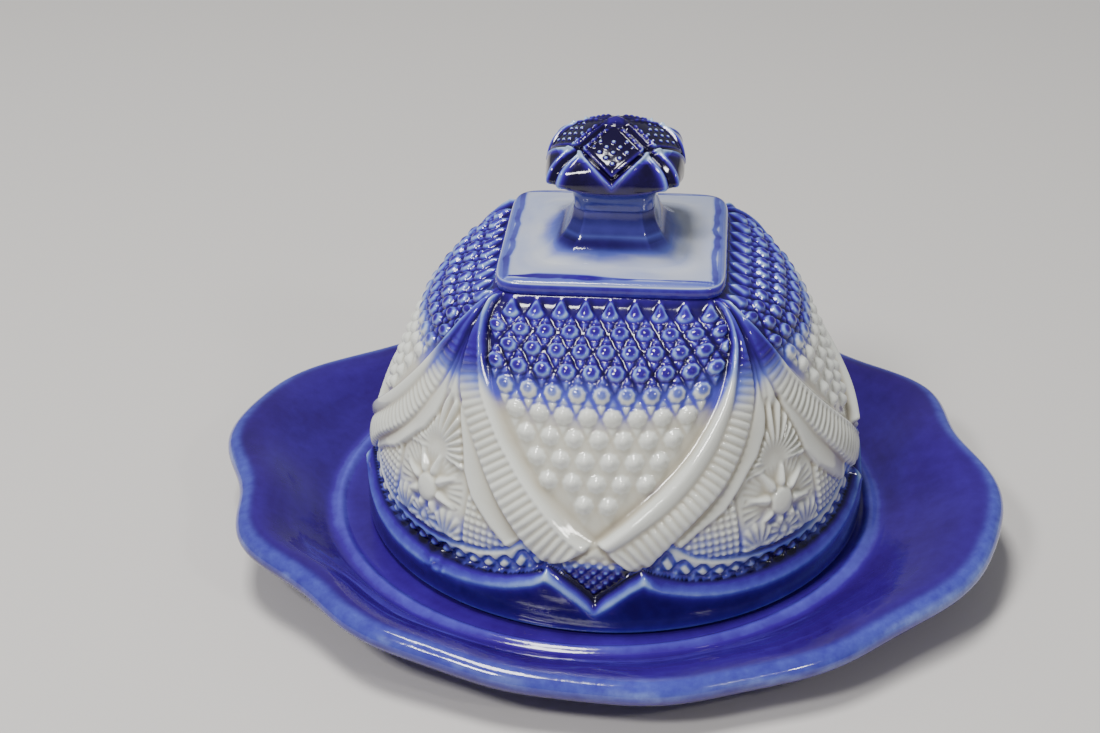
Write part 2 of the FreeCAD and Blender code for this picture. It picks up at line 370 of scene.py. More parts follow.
# star of eight sharp points round a raised button
be = np.hypot(X / 3.15, (Y + 0.4) / 3.15)
sr_ = np.hypot(X, Y * 0.98)
ba = np.degrees(np.arctan2(Y, X)) + 14.0
half = np.clip(3.9 * (10.6 - sr_) / 6.8 / np.maximum(0.785 * sr_, 0.5), 0.0, 1.0)
offp = np.abs(((ba / 45.0 + 0.5) % 1) - 0.5) * 2
spk = np.clip(1 - offp / np.maximum(half, 0.03), 0, 1)
m_star = sstep(be, 1.10, 1.25) * (1 - sstep(sr_, 11.0, 11.9)) * sstep(panel, -0.1, 0.6) * (np.abs(X) < 12.6) * (1 - sstep(fy, -2.2, -0.2))
hc = hc * (1 - m_star) + m_star * (1.55 * spk * (1 - 0.30 * sstep(sr_, 4.0, 11.0)) + 0.45 * sstep(tri(ba / 9.0 + 0.5), 0.2, 0.9) * (1 - sstep(spk, 0.0, 0.25)) * sstep(sr_, 6.0, 8.0) - 0.30)
hc = np.where(be < 1.12, 1.0 * np.sqrt(np.clip(1 - (be / 1.12) ** 2, 0, 1)) ** 0.7 + 0.15 - 0.5 * bump(be - 1.12, 0.12), hc)
# small diamond below it, with rays
ly = SS - s_of_z(18.4)
de = (np.abs(X) + np.abs(ly) * 0.9) / 2.2
la = np.degrees(np.arctan2(ly, X))
lr = np.hypot(X, ly)
m_low = (ly < 3.0) & (lr < 5.4) & (be > 1.6)
hc = np.where(m_low, 0.95 * tri(la / 25.7 + 0.5) * (1 - sstep(lr, 4.0, 5.4)), hc)
hc = np.where(m_low & (de < 1), 0.95 * (1 - de), hc)
# lower side fans, and the cross-hatched corners beyond them
for sg in (-1, 1):
    gx, gy = X * sg - 7.6, SS - s_of_z(15.4)
    ga, gr = np.degrees(np.arctan2(gy, gx)), np.hypot(gx, gy)
    m = (np.abs(X) < 12.6) & (X * sg > 3.4) & (gr < 7.6) & (be > 2.0) & (lr > 4.8)
    hc = np.where(m, 0.95 * tri(ga / 20.0) * sstep(gr, 0.8, 2.5) * (1 - 0.5 * sstep(gr, 6.0, 7.6)), hc)
hatch = (np.abs(X) > 13.0) & (panel > -0.1) & (ZZ < 32)
hx = 0.85 * np.minimum(sstep(tri(X / 1.75), 0.0, 0.75), sstep(tri((SS - s_of_z(16.0)) / 1.75), 0.0, 0.75)) + 0.05
hc = np.where(hatch, hx, hc)
hc -= 0.45 * bump(np.abs(X) - 12.8, 0.45) * (panel > 0) * (ZZ < 31)
hc -= 0.50 * bump(panel - 0.1, 0.6) * (ZZ > 16) * (ZZ < 50)
H = hc.copy()
COBX += 0.40 * (panel > 0) * (1 - sstep(ZZ, 17, 27.5))

# --- hobnail field
field = np.minimum(lf_d, -rf_d)
Xf = RR * np.sin(TH)
s_top = s_of_z(69.4)
hf = np.full_like(H, -0.45)
TINT = np.zeros_like(H)            # added to the glaze's thickness signal; also carries the painted glint along the flange's foot
PITCH, ROWP = 5.65, 5.10
LZ, LA = [t[0] for t in L_FIELD], [t[1] for t in L_FIELD]
RZ, RA = [t[0] for t in R_FIELD], [t[1] for t in R_FIELD]
tf = np.full_like(H, -0.16)
for k in range(0, 10):
    sk = s_top - 3.9 - ROWP * k
    dy = SS - sk
    zk = float(np.interp(sk, Sf, Zf))
    x0 = 0.75 - 0.20 * min(k, 7) + 0.5 * PITCH * (k % 2)
    pk = PITCH * (1.02 if k < 2 else 1.0)
    fxk = (Xf - x0) / pk
    idx = np.round(fxk)
    dx = (fxk - idx) * pk
    cx = x0 + idx * pk
    if k == 0:   # teardrops pointing up to the plateau
        rad = np.hypot(dx * (1 + 0.50 * np.clip(dy, 0, 4) / 1.6), np.where(dy > 0, dy * 0.50, dy))
    else:        # bluntly eight-sided
        an = np.arctan2(dy, dx)
        rad = np.hypot(dx, dy) * (1 + 0.05 * np.cos(8 * an + 0.4 * k))
    soft = float(np.interp(zk, [46, 56], [1.0, 0.0]))
    hob = 1.10 * sstep(rad, 2.35 + 0.05 * soft, 1.45 - 0.80 * soft) + 0.30 * np.clip(1 - (rad / 1.55) ** 2, 0, 1) + 0.16 * np.clip(1 - rad / 0.6, 0, 1)
    lf, rf = float(np.interp(zk, LZ, LA)), float(np.interp(zk, RZ, RA))
    rk = float(np.interp(sk, S, A))
    row = int(np.argmin(np.abs(S - sk)))
    ca = np.interp(cx, Xf[row], np.degrees(thq), left=-60, right=60)
    need = -0.5 if zk > 60 else 0.9 if zk > 54 else 1.5
    ok = (np.radians(ca - lf) * rk > need) & (np.radians(rf - ca) * rk > need)
    hf = np.maximum(hf, np.where(ok, hob - 0.45, -9))
    tf = np.where(ok & (rad < 2.6), 0.62 * bump(rad - 1.68, 0.60) - 0.34 * sstep(rad, 1.25, 0.70) + 0.18 * bump(rad, 0.45), tf)
    # small three-sided studs in the gaps above and below each row
    for sgn in (1, -1):
        ty = dy - sgn * ROWP * 0.60
        tr = np.maximum(np.abs(dx) * 0.87 + sgn * ty * 0.5, -sgn * ty)
        stud = (0.75 - 0.74 * soft) * sstep(tr, 0.98, 0.15)
        hit = ok & (np.abs(dx) < 1.6)
        hf = np.maximum(hf, np.where(hit, stud - 0.45, -9))
        tf = np.where(hit & (tr < 0.9), np.maximum(tf, 0.30 * (1 - soft) * sstep(tr, 0.9, 0.3)), tf)
fmask = sstep(field, -0.2, 0.2)
H = H * (1 - fmask) + hf * fmask
TINT = (tf - 0.15 * sstep(0.08 - tf, 0.0, 0.08) * sstep(ZZ, 47.0, 55.0) * (1 - sstep(ZZ, 65.0, 67.5))) * fmask

# --- ribbons
def ribs(poly, zfade):
    d, al, sd = near(dense(poly))
    w = tri(al / 2.02)
    return (sstep(w, 0.12, 0.62) - 0.62) * (1 - 0.55 * sstep(ZZ, 47.0, 52.0)) * (1 - sstep(ZZ, zfade, zfade + 6.0))


cen_l = [((a0 + a1) / 2, z) for z, a0, a1 in
         ((z, np.interp(z, [t[0] for t in L_OUT], [t[1] for t in L_OUT]), np.interp(z, [t[0] for t in L_IN], [t[1] for t in L_IN]))
          for z in (15.0, 18.0, 21.5, 25.0, 30.0, 35.0, 40.0, 45.0, 50.0, 56.0, 62.0, 69.0))]
cen_r = [((a0 + a1) / 2, z) for z, a0, a1 in
         ((z, np.interp(z, [t[0] for t in R_OUT], [t[1] for t in R_OUT]), np.interp(z, [t[0] for t in R_IN], [t[1] for t in R_IN]))
          for z in (15.0, 18.0, 21.5, 25.0, 30.0, 35.0, 40.0, 45.0, 50.0, 56.0, 62.0, 69.0))]
rib_l, rib_r = ribs(cen_l, 57.0), ribs(cen_r, 57.0)
above_l = sstep((ZZ - end_l) * 0.8, -0.35, 0.35)
above_r = sstep((ZZ - end_r) * 0.8, -0.35, 0.35)

# left ribbon: ribs between a plain edge and a sharp inner ridge, then a hollow slope to the field
wl = np.maximum(lo_d - li_d, 0.5)
ul = lo_d / wl
swell = 1.25 + 1.05 * np.exp(-((ZZ - 27) / 11.0) ** 2)
h_l = swell * (0.80 + 0.25 * np.sin(np.clip(ul, 0, 1) * math.pi)) + 0.62 * rib_l * sstep(ul, -0.02, 0.08) * (1 - sstep(ul, 0.86, 0.97))
h_l += 0.70 * bump(li_d + 0.22, 0.62)
m_l = sstep(lo_d, -0.45, 0.35) * sstep(-li_d, -0.35, 0.25) * above_l
sl = np.clip(li_d / np.maximum(li_d - lf_d, 0.6), 0, 1)
h_sl = (1 - sl) ** 1.25 * (swell * 0.85 + 0.2) - 0.45 * sl
h_sl -= 0.75 * bump(lf_d + 0.2, 0.9) * sstep(ZZ, 50, 58)
m_sl = sstep(li_d, -0.2, 0.2) * sstep(-lf_d, -0.2, 0.2) * (TD < 6) * sstep(ZZ, 21.5, 23.0)
H = H * (1 - m_sl) + h_sl * m_sl
# right side: a broad round moulding, then the ribs
sr = np.clip(rf_d / np.maximum(rf_d - ri_d, 0.6), 0, 1)
h_sr = swell * 0.85 + 0.75 * np.sin(np.clip(sr * 1.08 - 0.02, 0, 1) * math.pi) ** 0.75
h_sr = h_sr * sstep(sr, -0.05, 0.42) - 0.45 * (1 - sstep(sr, 0.0, 0.30))
h_sr -= 0.55 * bump(rf_d - 0.1, 0.9) * sstep(ZZ, 50, 58)
m_sr = sstep(rf_d, -0.2, 0.2) * sstep(-ri_d, -0.25, 0.25) * sstep(ZZ, 21.0, 22.6)
H = H * (1 - m_sr) + h_sr * m_sr
H = H * (1 - m_l) + h_l * m_l
wr = np.maximum(ri_d - ro_d, 0.5)
ur = ri_d / wr
h_r = swell * (0.80 + 0.25 * np.sin(np.clip(ur, 0, 1) * math.pi)) + 0.66 * rib_r * sstep(ur, 0.02, 0.10) * (1 - sstep(ur, 0.93, 1.02))
m_r = sstep(ri_d, -0.25, 0.25) * sstep(-ro_d, -0.45, 0.35) * above_r
H = H * (1 - m_r) + h_r * m_r
# fine dark seams beside both ribbons near the plateau
seam = sstep(ZZ, 44, 54)
H -= 0.60 * bump(lo_d + 0.3, 0.6) * (0.35 + 0.65 * seam) * (ZZ > 19)
H -= 0.60 * bump(ro_d - 0.3, 0.6) * (0.35 + 0.65 * seam) * (ZZ > 19)

# --- band of crosses
z_x = z_chan + (z_up - z_chan) * 0.70       # crosses below, a plain roll above
v = np.clip((ZZ - z_chan) / np.maximum(z_x - z_chan, 0.5), 0, 1)
al = TH * 60.4 / 4.3 + 0.25
d1 = np.abs(((al - v + 0.5) % 1) - 0.5)
d2 = np.abs(((al + v + 0.5) % 1) - 0.5)
cross = sstep(np.minimum(d1, d2), 0.06, 0.25)
hx = np.where(ZZ < z_x, -0.45 + 1.05 * cross, 0.62)
tx = np.where(ZZ < z_x, 0.55 * cross - 0.42, 0.25)
out_l = (TD < 0) * (lo_d < 0.3) + (TD >= 0) * (ro_d > -0.3)
m_x = sstep(ZZ, z_chan - 0.25, z_chan + 0.35) * (1 - sstep(ZZ, z_up - 0.35, z_up + 0.25)) * out_l
low_l = np.where(TD < 0, 1 - m_l, 1 - m_r)
H = H * (1 - m_x * low_l) + hx * m_x * low_l
TINT = TINT * (1 - m_x * low_l) + tx * m_x * low_l
H -= 0.75 * bump(ZZ - z_up, 0.95) * out_l * low_l
H += 0.35 * bump(ZZ - z_up - 1.1, 0.8) * out_l * low_l * (1 - hatch)

# --- flange with its shoulder, chevron and the small dotted diamond
inside_v = (T_ABS < 11.6)
dv = (z_line - ZZ)                       # > 0 below the outline
slope_v = np.where(inside_v, 0.72, 0.97)
dvn = dv * slope_v
shoulder = np.where(inside_v, 2.2, np.maximum(z_chan - z_line, 1.0) * 0.97)
fl = sstep(dvn, -shoulder, 0.15)
fl = np.where(dvn > -shoulder, 0.20 + 0.80 * np.clip((dvn + shoulder) / shoulder, 0, 1) ** 0.55, 0) * sstep(dvn, -shoulder - 0.1, -shoulder + 0.45)
h_fl = 3.05 * np.clip(fl, 0, 1)
h_fl += 0.22 * bump(dvn + 0.35, 1.1) * np.where(inside_v, 1.5, 0.5)
m_fl = sstep(dvn, -shoulder - 0.2, -shoulder + 0.2)
# the last term is a painted glint, a thin light line along the foot of the flange
TINT = TINT * (1 - m_fl) + m_fl * (0.22 * bump(dvn + 0.1, 2.0) * (1.0 + 0.5 * inside_v) - 0.24 + 0.40 * bump(ZZ - 1.1, 0.8))
H = H * (1 - m_fl) + h_fl * m_fl
chan = bump(dvn + shoulder + 0.45, 0.95)
H -= 0.55 * chan * (1 - m_fl * 0.6)
# inside the chevron, below the ribbons' ends
m_in = inside_v * (1 - np.where(TD < 0, above_l, above_r)) * (1 - sstep(dvn, -shoulder - 0.5, -shoulder + 0.1))
dxm = np.radians(TD + 0.9) * RR
dym = SS - s_of_z(16.2)
g1, g2 = (dxm * 0.70 + dym * 0.72), (dxm * -0.70 + dym * 0.72)
dots = np.hypot(((g1 / 1.95 + 0.5) % 1 - 0.5), ((g2 / 1.95 + 0.5) % 1 - 0.5))
h_in = 0.25 + 0.60 * sstep(dots, 0.42, 0.12) * (1 - sstep(ZZ, 18.6, 20.6)) + 0.55 * sstep(ZZ, 18.5, 21.0)
h_in -= 0.5 * bump(np.abs(dxm) - 7.9, 0.8)
H = H * (1 - m_in) + h_in * m_in
TINT = TINT * (1 - m_in) + m_in * (0.75 * sstep(dots, 0.36, 0.10) * (1 - sstep(ZZ, 18.6, 20.6)) - 0.10)
# dark undercut below the ends of the ribbons
H -= 0.55 * bump((ZZ - np.where(TD < 0, end_l, end_r)) * 0.8 + 0.55, 0.8) * inside_v * (1 - m_fl)
TINT -= 0.08 * bump(ZZ - 69.5, 1.2)

# soften as the glaze does, then copy to the four faces
sig = 0.30 / DS * 0.9
H4 = np.concatenate([H] * 4, axis=1)
H4 = blur(H4, (sig, sig))
top_fill = sstep(np.concatenate([ZZ] * 4, axis=1), 68.6, 70.0)
H4 = H4 * (1 - top_fill) + 0.2 * top_fill
Z4 = np.concatenate([ZZ] * 4, axis=1)
# foot of the flange: rounded under, and a little uneven by hand
foot_in = np.where(Z4 < 2.2, np.sqrt(np.clip(1 - (1 - Z4 / 2.2) ** 2, 0, 1)), 1.0)
H4 = np.where(Z4 < 4.0, H4 * (0.22 + 0.78 * foot_in), H4)
th_all = np.radians(-135 + 360.0 * np.arange(COLS) / COLS)
wob = wavy(ROWS, COLS, 5, 5, 9, 3)
H4 = H4 + 0.10 * wob
gf = np.exp(-((TD + 39.5) / 3.4) ** 2 - ((ZZ - 9.2) / 2.8) ** 2)
H4[:, :NQ] += gf * (0.55 * wavy(ROWS, NQ, 77, 50, 46, 2) + 0.15)
RB = A[:, None] * spow(th_all[None, :] + math.pi / 2, NEXP[:, None])
P = np.stack([RB * np.cos(th_all), RB * np.sin(th_all), Z4], -1)
N = grid_normals(P)
N[Z4 < 12, 2] = 0
Pd = P + N * H4[..., None]
# the mould flaw in the flange near the front left corner
Pd[..., 2] = np.maximum(Pd[..., 2], 0.0)

ncell = DS
cav = H4 - blur(H4, (1.25 / ncell, 1.25 / (2 * math.pi * 57 / COLS))) + blur(np.concatenate([TINT] * 4, axis=1), (0.6, 0.6))
wide = H4 - blur(H4, (3.2 / ncell, 3.2 / (2 * math.pi * 57 / COLS)))
# cobalt strength: deep at the top and round the foot, none between
cav[:, :NQ] -= 0.22 * gf * (1.0 + 0.8 * wavy(ROWS, NQ, 78, 40, 40, 2))
# painted light: the flange's skirt below the shoulder is made paler on the side facing the key lamp, towards the front
# left
painted_lit_side = 0.62 + 0.62 * np.cos(th_all + math.radians(118.0))[None, :]
cav += 0.22 * painted_lit_side * np.concatenate([m_fl * bump(dvn - 0.2, 3.0) * (dvn > -shoulder * 0.9)] * 4, axis=1) * (1 - np.concatenate([inside_v * 1.0] * 4, axis=1) * 0.4)
n1 = wavy(ROWS, COLS, 21, 10, 26, 3)
n2 = wavy(ROWS, COLS, 22, 22, 60, 2)
zt = Z4 + 1.3 * n1 + 0.6 * n2
cob = np.interp(zt, [46.0, 50.0, 53.0, 56.3, 59.5], [0.0, 0.13, 0.36, 0.74, 1.0])
low = (1 - sstep(zt, 12.5, 19.0)) * 0.9
cob = np.maximum(cob, low * 0.95)
X4 = np.concatenate([COBX] * 4, axis=1)
m4 = np.concatenate([m_x * low_l] * 4, axis=1)
cob = np.maximum(cob, np.clip(X4 + 0.1 * n1, 0, 1))
ta4 = np.concatenate([T_ABS] * 4, axis=1)
cob = np.where(m4 > 0.3, np.clip(0.48 + 0.45 * sstep(ta4 + 3 * n1, 28, 44), 0, 1), cob)
rib4 = np.concatenate([np.maximum(m_l, m_r)] * 4, axis=1)
cob = cob * (1 - rib4 * (1 - sstep(Z4, 40, 48)))
cob = np.maximum(cob, np.concatenate([m_fl] * 4, axis=1))
in4 = np.concatenate([m_in] * 4, axis=1)
cob = np.where(in4 > 0.5, np.clip(1.0 - sstep(zt, 14.8, 18.6), 0, 1), cob)
cob = np.clip(cob, 0, 1)

# inner face and foot of the shell
inner = []
def ringr(r, z):
    rr = np.full(COLS, r) if np.isscalar(r) else r
    return np.stack([rr * np.cos(th_all), rr * np.sin(th_all), np.full(COLS, float(z))], -1)
rows_in, cob_in = [], []
for r, z in ((60.6, 0.0), (59.8, 0.0), (58.4, 0.0), (57.2, 0.05), (56.5, 0.45), (56.15, 1.2)):
    rows_in.append(ringr(r, z)); cob_in.append(0.25)
for z in np.arange(2.5, 60.1, 2.4):
    a, c = np.interp(z + 1.0, Zf, Af) - 4.6, np.interp(z + 1.0, Zf, Cf) - 4.6
    a, c = min(a, 56.0), min(c, 56.05)
    n = float(np.clip(1 / (0.5 - math.log2(max(c / a, 1.0))), 2, 9))
    rows_in.append(ringr(a * spow(th_all, n), z)); cob_in.append(0.06)
for a, n, z in ((36.6, 2.3, 61.2), (33.8, 2.4, 62.6), (30.0, 2.5, 63.7), (25.0, 2.5, 64.4), (18.0, 2.2, 64.8), (9.0, 2.0, 65.0), (3.0, 2.0, 65.0)):
    rows_in.append(ringr(a * spow(th_all, n), z)); cob_in.append(0.06)
# under the plateau the outer surface closes below the slab
cap = [ringr(f * 26.0 * spow(th_all, 7.0), 70.0) for f in (0.8, 0.5, 0.2)]
rings = np.concatenate([np.stack(rows_in[::-1]), Pd, np.stack(cap)])
nin, ncap = len(rows_in), len(cap)
def full(v_in, grid, v_cap):
    return np.concatenate([np.repeat(np.array(v_in[::-1], float)[:, None], COLS, 1), grid, np.full((ncap, COLS), v_cap)])
shift = np.array([CX, 0, SEAT])
dome = make_mesh("cover_dome_shell", rings + shift, pole0=shift + [0, 0, 65.0], pole1=shift + [0, 0, 70.0],
                 attrs={"cav": full([0.0] * nin, cav, 0.0), "wide": full([0.0] * nin, wide, 0.0),
                        "cob": full(cob_in, cob, 1.0), "inner": full([1.0] * nin, cav * 0, 0.0)})

# ------------------------------------------------------------------ plateau and stem
CS = 384
ths = 2 * math.pi * np.arange(CS) / CS
slab_rows = [(25.0, 8.0, 69.2), (26.2, 9.0, 69.3), (27.0, 9.5, 69.9), (27.3, 9.5, 70.8), (27.3, 9.5, 71.8),
             (27.0, 9.5, 72.7), (26.4, 9.5, 73.35), (25.4, 9.2, 73.66), (24.2, 9.0, 73.70), (22.6, 8.5, 73.68), (20.4, 7.0, 73.74),
             (18.2, 5.4, 73.98), (16.2, 4.4, 74.5), (14.5, 4.0, 75.3), (13.0, 4.0, 76.3), (11.8, 4.1, 77.6),
             (10.8, 4.3, 79.2), (10.15, 4.6, 81.0), (9.8, 4.8, 82.8), (9.72, 4.9, 84.0), (9.6, 4.9, 84.02)]


def pring(a, n, z, off=None):
    r = a * spow(ths, n)
    if z > 73.9:                        # the stem is square with cut corners, and so is its flare
        r1 = a * spow(ths, 9.0)
        r2 = a * 1.20 / np.cos(np.radians(np.abs((np.degrees(ths) % 90) - 45)))
        soft = -np.log(np.exp(-4.0 * r1) + np.exp(-4.0 * r2)) / 4.0
        k = float(np.clip((z - 73.7) / 3.2, 0, 1))
        r = r * (1 - k) + soft * k
    return np.stack([r * np.cos(ths), r * np.sin(ths), np.full(CS, float(z))], -1)


ctrl = np.stack([pring(*q) for q in slab_rows])
st_r = bspline_rows(ctrl, 190)
zz = st_r[..., 2]
az = np.degrees(ths)[None, :]
wv = wavy(len(st_r), CS, 31, 8, 10, 3)
top_face = (zz > 73.3) & (zz < 74.0)
st_r[..., 2] += 0.07 * wv * top_face
px_, py_ = st_r[..., 0], st_r[..., 1]
edge_d = np.maximum(np.abs(px_), np.abs(py_))
front = np.where(np.abs(px_) < -py_, 1.0, 0.0)                 # the quarter that faces the front
sidey = np.where(np.abs(py_) < np.abs(px_), 1.0, 0.0)
edge_n = wavy(len(st_r), CS, 33, 3, 36, 3)
line_w = 0.26 + 1.15 * front * sstep(-px_, -6, 6) * (1 - sstep(-px_, 16, 22)) + 0.60 * sidey + 0.16 * np.clip(edge_n, -1, 1)
line_at = 24.5 + (0.14 + 0.34 * sidey) * edge_n - 0.5 * front * sstep(-px_, 0, 12)
line = np.clip(1.6 - np.abs(edge_d - line_at) / np.maximum(line_w, 0.22), 0, 1) * (zz > 73.0) * (zz < 74.6)
plat_cob = 0.45 + 0.05 * wv + 0 * zz
rim_band = (edge_d > 25.1) & (zz > 73.0)
plat_cob = np.where(rim_band, 0.62, plat_cob)
plat_cob = np.maximum(plat_cob, sstep(zz, 73.2, 72.4) * 0.92)
plat_cob = np.maximum(plat_cob, line * (0.72 + 0.20 * front * sstep(-px_, -4, 8) + 0.08 * np.clip(edge_n, -1, 1)))
pool = np.exp(-((zz - 76.8) / 2.4) ** 2) * (1 - sstep(edge_d, 12.5, 18.5)) * (0.66 + 0.26 * np.cos(np.radians(az - 255.0)))
pool = np.maximum(pool, (0.60 + 0.07 * edge_n) * np.exp(-(np.maximum(np.hypot(px_ + 0.8, py_) - 13.0, 0) / 4.2) ** 2) * (zz > 73.5) * (zz < 78))
plat_cob = np.maximum(plat_cob, pool)
# the stem's cobalt is partly its glaze colour and partly raised to paint the knob's shadow on the stem
plat_cob = np.maximum(plat_cob, sstep(zz, 76.5, 79.0) * 0.78)
plat_cav = -0.9 * bump(zz - 69.6, 1.0) * (edge_d > 24) + 0.12 * (zz > 70.3) * (zz < 73.2)
plat_cav += 0.26 * sstep(zz, 73.4, 73.8) * (1 - sstep(pool, 0.05, 0.45)) * (zz < 76)
plat_cav += 0.22 * bump(zz - 73.1, 0.8) * (edge_d > 26.0) - 0.22 * line
# lighter lines along the edges of the cut corners: partly glaze thinning on the edges, partly painted glints
cham = np.abs(np.abs((az % 90) - 45) - 10.5)
plat_cav += 0.11 * bump(cham, 2.4) * (zz > 76.0) - 0.16 * (zz > 77) * (np.abs((az % 90) - 45) < 9)
# the second term is a painted shadow of the knob across the top of the stem
plat_cav -= 0.25 * pool * (zz < 80) + 0.38 * bump(zz - 82.0, 2.6)
plat = make_mesh("cover_plateau_stem", st_r + shift, pole0=shift + [0, 0, 69.2], pole1=shift + [0, 0, 84.02],
                 attrs={"cav": plat_cav, "wide": plat_cav * 0, "cob": np.clip(plat_cob, 0, 1), "inner": zz * 0})

# ------------------------------------------------------------------ knob
CK = 640
thk = 2 * math.pi * np.arange(CK) / CK
knob_rows = [(9.68, 4.9, 84.0), (9.7, 4.9, 84.02), (9.75, 4.8, 85.2), (9.9, 4.8, 86.6), (10.4, 4.6, 88.2), (11.8, 4.5, 89.4),
             (14.0, 4.6, 90.1), (15.9, 4.8, 90.6), (16.45, 4.8, 91.2), (16.5, 4.7, 92.2), (16.2, 4.5, 94.2), (15.6, 4.1, 96.1),
             (14.2, 3.4, 97.8), (12.0, 2.9, 99.2), (9.5, 2.5, 100.6), (6.9, 2.3, 101.9), (4.3, 2.1, 103.0), (2.2, 2.0, 103.6), (0.8, 2.0, 103.7)]
kc = []
for a, n, z in knob_rows:
    r = a * spow(thk, n)
    lift = 1.5 * np.abs(np.sin(2 * thk)) ** 3 * max(0.0, 1 - abs(z - 91.2) / 4.0)
    kc.append(np.stack([r * np.cos(thk), r * np.sin(thk), z + lift], -1))
K = bspline_rows(np.stack(kc), 300)
KN = grid_normals(K)
kx, ky, kz = K[..., 0], K[..., 1], K[..., 2]
# plan coordinates turned so the nearest face's middle lies along +v
ang = np.arctan2(ky, kx)
qd = np.round(ang / (math.pi / 2)) * (math.pi / 2)
kv = kx * np.cos(qd) + ky * np.sin(qd)         # outwards from the middle
ku = -kx * np.sin(qd) + ky * np.cos(qd)        # along the face
# distance down the surface from the crown, along a face's middle
kr = np.hypot(kx, ky)
prof_len = np.r_[0, np.cumsum(np.linalg.norm(np.diff(K[::-1, 0], axis=0), axis=1))][::-1]
down = np.repeat(prof_len[:, None], CK, 1)
onc = sstep(kz, 91.4, 92.2)
kh = np.zeros_like(kx)
# deep grooves from the crown out to the four corners, one along each diagonal
dg = np.abs(np.abs(ku) - kv) / math.sqrt(2)
g_w = 1.35
groove = np.clip(1 - np.abs(dg - 0.0) / g_w, 0, 1) * sstep(kr, 2.2, 4.2) * onc
kh -= 1.45 * groove
kh += 0.40 * bump(dg - 1.95, 0.70) * sstep(kr, 3.5, 6.0) * onc          # raised lips of the grooves
# the diamond: lower V groove across each face
v_d = down - (18.4 - 0.98 * np.abs(ku) * 1.02)
vg = np.clip(1 - np.abs(v_d) / 1.0, 0, 1) * (np.abs(ku) < 8.6) * onc
kh -= 1.15 * vg * (1 - sstep(np.abs(ku), 7.4, 8.6))
kh += 0.42 * bump(v_d - 1.7, 0.8) * (np.abs(ku) < 9.5) * onc
kh += 0.25 * bump(v_d + 1.6, 0.8) * (np.abs(ku) < 7.5) * onc
in_d = (v_d < -1.2) & (dg > 1.2) & (kr > 3.0)
# dots within the diamond
q1 = (ku * 0.72 + (down - 11.0) * 0.72) / 2.3
q2 = (-ku * 0.72 + (down - 11.0) * 0.72) / 2.3
dd = np.hypot((q1 + 0.5) % 1 - 0.5, (q2 + 0.5) % 1 - 0.5)
dot = sstep(dd, 0.30, 0.08) * (dg > 3.1) * (v_d < -2.6) * (down > 7.2)
kh = np.where(in_d, kh - 0.30 + 0.45 * dot, kh)
# scalloped bead along the diamond's upper edges
sc = bump(dg - 1.9, 0.9) * (v_d < -0.8) * sstep(kr, 3.0, 4.5) * onc
kh += 0.32 * sc * (0.55 + 0.45 * np.cos(kr / 1.75 * 2 * math.pi))
# lower facets hollowed a little
fac = (v_d > 2.0) * onc
kh -= 0.35 * fac * bump(np.abs(ku) - 8.5, 6.0)
# little pyramid at the crown
kh += 0.55 * np.clip(1 - (np.abs(kx) + np.abs(ky)) / 2.6, 0, 1) - 0.35 * bump(kr - 2.6, 0.9)
kh = blur(kh, (0.9, 1.2))
ks = 2 * math.pi * 14 / CK
kcav = kh - blur(kh, (7.0, 9.0))
Kd = K + KN * kh[..., None]
kcav += 1.05 * blur(dot * in_d, (0.8, 0.8)) - 0.34 * blur(1.0 * in_d, (1.5, 1.5)) - 0.55 * groove - 0.45 * vg + 0.45 * sc * (0.55 + 0.45 * np.cos(kr / 1.75 * 2 * math.pi)) + 0.42 * bump(dg - 2.3, 1.7) * onc * (v_d > -1.0) + 0.44 * bump(v_d - 2.2, 2.2) * onc * (np.abs(ku) < 11)
kcob = np.where(kz < 90.0, 0.66 + 0.1 * sstep(kz, 84, 90), 1.0)
kcav = np.where(kz < 90.0, 0.0, kcav - 0.22 * (kz < 98.0) * (v_d > -0.5))
kcav += 0.35 * bump(kz - 90.9 - 1.3 * np.abs(np.sin(2 * thk)) ** 3, 0.7) * (kz > 90.0)
kcav -= 0.5 * bump(kz - 84.05, 0.22)
knob = make_mesh("cover_knob_cut", Kd + shift, pole0=shift + [0, 0, 84.0], pole1=shift + [0, 0, 104.3],
                 attrs={"cav": kcav, "wide": kcav * 0, "cob": kcob, "inner": kz * 0})

# ------------------------------------------------------------------ dish
RIM_R0 = 93.08
LOBES = ((2, 5.22, -1.90), (4, 0.46, -1.23), (6, -0.40, -0.85), (8, -0.44, -0.52), (10, -0.16, -0.65), (12, 0.44, -0.28), (14, 0.68, 0.0))
CD = 900
thd = 2 * math.pi * np.arange(CD) / CD
rim = RIM_R0 + sum(c * np.cos(k * thd) + s * np.sin(k * thd) for k, c, s in LOBES)
hgt = 7.71 + 2.97 * np.cos(2 * thd) + 1.81 * np.sin(2 * thd)


def dring(r, z):
    r = np.broadcast_to(r, (CD,)); z = np.broadcast_to(z, (CD,))
    return np.stack([r * np.cos(thd), r * np.sin(thd), z], -1)


